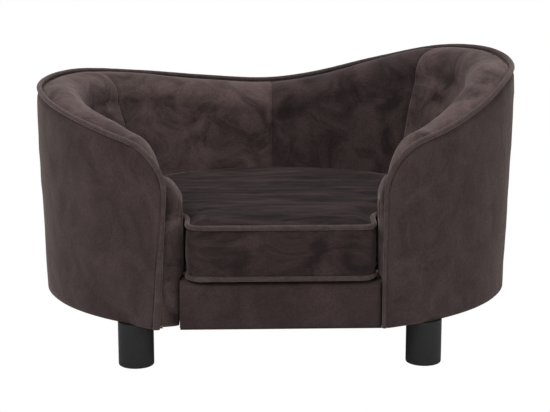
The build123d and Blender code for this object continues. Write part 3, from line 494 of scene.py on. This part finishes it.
build_arm(
    "inner_cloth_right", right_arm, RIGHT_END,
    ["inner_cover_right", "arm_pad_right", "arm_front_pad_right"],
)
build_arm(
    "inner_cloth_left", left_arm, LEFT_END,
    ["inner_cover_left", "arm_pad_left", "arm_front_pad_left"],
)
for name, start, end, pile, replaced in (
    ("inner_cloth_back_right", RIGHT_SEAM, BACK_SEAM, shaded_plush, ["inner_cover_back_right", "back_pad"]),
    ("inner_cloth_back_left", BACK_SEAM, LEFT_SEAM, lit_plush, ["inner_cover_back_left"]),
):
    columns = [inner_column(angle) for angle in seam_angles(start, end, 34)]
    points = [p for column in columns for p in column]
    faces = grid_faces(len(columns), len(columns[0]))
    add_piece(name, points, faces, pile, "sofa", replaced)


def tube(name, path, radius, closed, material, body, replaced):
    """A cord-filled piping along a path, faintly uneven."""
    sides, count = 14, len(path)
    points, faces = [], []
    for i, point in enumerate(path):
        ahead = path[(i + 1) % count] if closed or i < count - 1 else path[i]
        behind = path[i - 1] if closed or i > 0 else path[i]
        along = (ahead - behind).normalized()
        side = along.cross(Vector((0, 0, 1)) if abs(along.z) < 0.9 else Vector((0, 1, 0))).normalized()
        if i and side.dot(last_side) < 0:
            side = -side
        if i:
            side = (last_side - along * last_side.dot(along)).normalized()
        last_side = side
        up = side.cross(along)
        r = radius * (1 + 0.05 * noise.noise(point / 9.0))
        turns = [2 * pi * k / sides for k in range(sides)]
        points += [point + side * r * cos(turn) + up * r * sin(turn) for turn in turns]
    faces = grid_faces(count, sides, closed_rows=True)
    if closed:
        base = (count - 1) * sides
        apart = [
            sum((points[base + k] - points[(k + s) % sides]).length for k in range(sides)) for s in range(sides)
        ]
        shift = apart.index(min(apart))
        faces += [
            (base + k, base + (k + 1) % sides, (k + 1 + shift) % sides, (k + shift) % sides) for k in range(sides)
        ]
    else:
        faces += [tuple(range(sides)), tuple(range((count - 1) * sides, count * sides))]
    return add_piece(name, points, faces, material, body, replaced)


def resample(path, step, closed=False):
    """Even points along a path."""
    source = path + [path[0]] if closed else path
    result, carry = [source[0]], 0.0
    for a, b in zip(source, source[1:]):
        length = (b - a).length
        position = step - carry
        while position <= length:
            result.append(a + (b - a) * position / length)
            position += step
        carry = (carry + length) % step
    if not closed:
        result.append(source[-1])
    return result


def welt_point(angle):
    step = (LEFT_END - RIGHT_END) / (2 * HALF_WIDTH) / 2
    ahead, behind = min(angle + step, LEFT_END), max(angle - step, RIGHT_END)
    run = (outer_point(ahead) - outer_point(behind)).length
    slope = (welt_height(ahead) - welt_height(behind)) / run
    off = WELT_CLEAR / sqrt(1 + slope**2)
    return place(angle, WELT_INSET, welt_height(angle) - WELT_CLEAR + off, -slope * off)


def welt_foot(end_angle):
    forward = 5.0 if end_angle > 0 else 0.0
    return place(end_angle, WELT_INSET + TAPER - forward, WALL_LOW, WELT_CLEAR if end_angle > 0 else -WELT_CLEAR)


angles = RIGHT_TIP + spread(RIGHT_TIP[-1], LEFT_TIP[0], 260)[1:-1] + LEFT_TIP
path = [welt_foot(RIGHT_END)] + [welt_point(angle) for angle in angles] + [welt_foot(LEFT_END)]
path = resample(path, 4.0)
for _ in range(8):
    path = [path[0]] + [(a + b * 2 + c) / 4 for a, b, c in zip(path, path[1:], path[2:])] + [path[-1]]
tube("welt_cloth", path, WELT_RADIUS, False, piping_plush, "sofa", ["welt"])

# Front rail: a padded front with slightly rounded lower corners, and side returns
columns = []
for u in spread(-1.0, 1.0, 60):
    x = RAIL_HALF * u
    corner = max(0.0, abs(x) - (RAIL_HALF - 2.0))
    low = WALL_LOW + 2.0 - sqrt(max(0.0, 4.0 - corner**2))
    edge = max(0.0, (abs(x) - (RAIL_HALF - 7.0)) / 7.0)
    back = 5.0 * (1 - sqrt(max(0.0, 1 - edge**2)))
    section = [(RAIL_FRONT + 12, low + 1.5), (RAIL_FRONT + 4, low)]
    for t in spread(0.0, 1.0, 18):
        level = low + 2.5 + (DECK_TOP - 8 - low - 2.5) * t
        bulge = 2.2 * sin(pi * t) ** 0.7 * (1 - u**4)
        section.append((RAIL_FRONT + 1.0 - bulge + back, level))
    section += [
        (RAIL_FRONT + 8 - 8 * cos(radians(a)) + back * (1 - a / 90), DECK_TOP - 8 + 8 * sin(radians(a)))
        for a in (15, 30, 45, 60, 75, 90)
    ]
    section += [(y, DECK_TOP) for y in spread(RAIL_FRONT + 12, RAIL_BACK, 4)]
    columns.append([Vector((x, y + soft(Vector((x, y, z)), 0.9, 30.0) * (1 - u**4), z)) for y, z in section])
for index in (0, -1):
    returned = [Vector((p.x * 1.005, max(p.y, RAIL_FRONT + 34), p.z)) for p in columns[index]]
    if index == 0:
        columns.insert(0, returned)
    else:
        columns.append(returned)
points = [p for column in columns for p in column]
add_piece(
    "rail_cloth", points, grid_faces(len(columns), len(columns[0])), rail_plush, "sofa",
    ["rail_cover", "rail_pad"],
)

# Cushion ---------------------------------------------------------------------
BOTTOM, THICK, PIPE = 129.3, 77.0, 3.5
TOP_LEVEL, LOW_LEVEL = BOTTOM + THICK - PIPE, BOTTOM + PIPE
CROWN_RUN, CROWN_RISE = 40.0, 10.5


def outline(inset):
    """Outline of the cushion in plan, drawn in by inset, as a closed ring of points."""
    back_y = WIDEST_Y + INNER_BACK - 8.0 - inset
    side_x = INNER_HALF - 8.0 - inset
    neck_x = OPENING / 2 - 2.0 - inset
    front_y = 6.0 - DEPTH / 2 + inset
    turn, lead_turn = radians(45.0), radians(31.8)
    back_radius, neck, side = 285.0 - inset, 30.0 + inset, 190.0 - inset
    lead = (side_x - back_radius * sin(lead_turn)) / (1 - sin(lead_turn))
    run = (side_x - side * (1 - cos(turn)) - neck_x - neck * (1 - cos(turn))) / sin(turn)
    corner = max(24.0 - inset, 6.0)
    x, y, heading = 0.0, back_y, 0.0
    ring = [(x, y)]

    def arc(radius, angle, count):
        nonlocal x, y, heading
        sign = 1 if angle > 0 else -1
        cx, cy = x - sign * radius * sin(heading), y + sign * radius * cos(heading)
        for k in range(1, count + 1):
            h = heading + radians(angle) * k / count
            ring.append((cx + sign * radius * sin(h), cy - sign * radius * cos(h)))
        heading += radians(angle)
        x, y = ring[-1]

    def line_to(tx, ty, count):
        nonlocal x, y
        for k in range(1, count + 1):
            ring.append((x + (tx - x) * k / count, y + (ty - y) * k / count))
        x, y = tx, ty

    arc(back_radius, -31.8, 26)
    arc(lead, -58.2, 16)
    arc(side, -45.0, 20)
    line_to(x + cos(heading) * run, y + sin(heading) * run, 4)
    arc(neck, 45.0, 10)
    line_to(neck_x, front_y + corner, 6)
    arc(corner, -90.0, 10)
    line_to(0.0, front_y, 20)
    right = ring
    left = [(-px, py) for px, py in reversed(right[1:-1])]
    return right + left


RING = len(outline(0.0))
CENTRE = Vector((0.0, -60.0, 0.0))


def ring_points(inset, level, rough=0.0, scale=1.0):
    result = []
    for x, y in outline(inset):
        p = Vector((x, y, 0))
        p = CENTRE + (p - CENTRE) * scale
        flat = Vector((p.x, p.y, level))
        p.z = level + soft(flat, rough, 60.0) + soft(flat, rough * 0.35, 18.0)
        result.append(p)
    return result


def build_rings(name, rings, material, replaced, close_end):
    """A piece of the cushion through closed rings, with its middle closed if asked."""
    points = [p for ring in rings for p in ring]
    faces = grid_faces(len(rings), RING, closed_rows=True)
    if close_end:
        start = len(points) - RING
        points.append(sum(points[start:], Vector((0, 0, 0))) / RING)
        faces += [(start + k, start + (k + 1) % RING, len(points) - 1) for k in range(RING)]
    return add_piece(name, points, faces, material, "cushion", replaced)


crown = [(6.0, TOP_LEVEL - 2.0, 0.0), (7.3, TOP_LEVEL + 0.5, 0.0)]
for share in (0.08, 0.17, 0.28, 0.4, 0.55, 0.7, 0.85, 1.0):
    rise = CROWN_RISE * sin(pi / 2 * share) ** 0.85
    crown.append((7.3 + (CROWN_RUN - 7.3) * share, TOP_LEVEL + rise, 1.6 * share))
rings = [ring_points(inset, level, rough) for inset, level, rough in crown]
for scale in (0.93, 0.86, 0.78, 0.7, 0.62, 0.54, 0.46, 0.38, 0.3, 0.22, 0.14, 0.06):
    rings.append(ring_points(CROWN_RUN, TOP_LEVEL + CROWN_RISE + 2.0 * (1 - scale**2), 1.6, scale))
build_rings("cushion_top_cloth", rings, seat_plush, ["cushion_top_panel", "cushion_foam"], True)

rings = [ring_points(6.5, LOW_LEVEL + 1.5), ring_points(7.3, BOTTOM + 0.6), ring_points(12.0, BOTTOM + 0.1)]
rings += [ring_points(CROWN_RUN, BOTTOM + 0.1, 0.0, scale) for scale in (1.0, 0.7, 0.4, 0.1)]
build_rings("cushion_bottom_cloth", rings, seat_plush, ["cushion_bottom_panel"], True)

band = []
for t in spread(0.0, 1.0, 16):
    level = LOW_LEVEL + 2.0 + (TOP_LEVEL - LOW_LEVEL - 4.0) * t
    ring = []
    drawn = outline(PIPE + 2.0 * sin(pi * t))
    swollen = outline(PIPE - 2.6 * sin(pi * t))
    for (ax, ay), (bx, by) in zip(drawn, swollen):
        share = min(1.0, max(0.0, (60.0 - ay) / 80.0))
        p = Vector((ax + (bx - ax) * share, ay + (by - ay) * share, level))
        puff = soft(p, 1.0, 32.0) * sin(pi * t) * share
        ring.append(Vector((p.x * (1 + puff / 400), p.y * (1 + puff / 400), level)))
    band.append(ring)
build_rings("cushion_band_cloth", band, band_plush, ["cushion_band"], False)

for name, level, node in (
    ("cushion_top_cord", TOP_LEVEL, "cushion_piping_top"),
    ("cushion_bottom_cord", LOW_LEVEL, "cushion_piping_bottom"),
):
    path = [Vector((x, y, level)) for x, y in outline(PIPE)]
    tube(name, resample(path, 4.0, closed=True), PIPE, True, piping_plush, "cushion", [node])

# Floor, backdrop, lights and camera ------------------------------------------


def white_for_view(nodes, links, seen, other, output):
    """White where the floor or backdrop is seen, its own shading for the light it gives."""
    rays = nodes.new("ShaderNodeLightPath")
    first = nodes.new("ShaderNodeMath")
    first.operation = "MAXIMUM"
    links.new(rays.outputs["Is Camera Ray"], first.inputs[0])
    links.new(rays.outputs["Is Transmission Ray"], first.inputs[1])
    mix = nodes.new("ShaderNodeMixShader")
    links.new(first.outputs["Value"], mix.inputs["Fac"])
    links.new(other, mix.inputs[1])
    links.new(seen, mix.inputs[2])
    links.new(mix.outputs["Shader"], output)


floor_material = bpy.data.materials.new("floor_white")
floor_material.use_nodes = True
nodes, links = floor_material.node_tree.nodes, floor_material.node_tree.links
glow = nodes.new("ShaderNodeEmission")
glow.inputs["Color"].default_value = (1, 1, 1, 1)
glow.inputs["Strength"].default_value = 1.0
nodes["Principled BSDF"].inputs["Base Color"].default_value = (0.8, 0.8, 0.8, 1)
nodes["Principled BSDF"].inputs["Roughness"].default_value = 0.9
white_for_view(
    nodes, links, glow.outputs["Emission"], nodes["Principled BSDF"].outputs["BSDF"],
    nodes["Material Output"].inputs["Surface"],
)
floor_mesh = bpy.data.meshes.new("floor")
floor_mesh.from_pydata([(-6, -6, 0), (6, -6, 0), (6, 6, 0), (-6, 6, 0)], [], [(0, 1, 2, 3)])
floor_mesh.materials.append(floor_material)
floor = bpy.data.objects.new("floor", floor_mesh)
bpy.context.scene.collection.objects.link(floor)

world = bpy.data.worlds.new("room")
bpy.context.scene.world = world
world.use_nodes = True
nodes, links = world.node_tree.nodes, world.node_tree.links
room = nodes["Background"]
room.inputs["Color"].default_value = (1, 1, 1, 1)
room.inputs["Strength"].default_value = 0.55
seen = nodes.new("ShaderNodeBackground")
seen.inputs["Color"].default_value = (1, 1, 1, 1)
seen.inputs["Strength"].default_value = 1.0
white_for_view(
    nodes, links, seen.outputs["Background"], room.outputs["Background"], nodes["World Output"].inputs["Surface"]
)


def area_light(name, position, aim, size, power):
    data = bpy.data.lights.new(name, "AREA")
    data.energy = power
    data.size = size
    light = bpy.data.objects.new(name, data)
    light.location = position
    light.rotation_euler = (Vector(aim) - Vector(position)).to_track_quat("-Z", "Y").to_euler()
    bpy.context.scene.collection.objects.link(light)


area_light("key", (-1.1, -1.5, 1.9), (0.0, 0.0, 0.2), 1.2, 46.0)
area_light("fill", (1.6, -1.3, 0.9), (0.0, 0.0, 0.2), 1.4, 14.0)
area_light("top", (0.2, 0.3, 2.2), (0.0, 0.0, 0.2), 1.4, 34.0)

camera_data = bpy.data.cameras.new("camera")
camera_data.lens = 106.5
camera_data.sensor_width = 36.0
camera = bpy.data.objects.new("camera", camera_data)
target = Vector((-0.001, 0.005, 0.176))
azimuth, elevation = radians(-1.8), radians(13.0)
camera.location = target + 2.4 * Vector(
    (sin(azimuth) * cos(elevation), -cos(azimuth) * cos(elevation), sin(elevation))
)
camera.rotation_euler = (target - camera.location).to_track_quat("-Z", "Y").to_euler()
bpy.context.scene.collection.objects.link(camera)
bpy.context.scene.camera = camera
bpy.context.scene.view_settings.view_transform = "Standard"
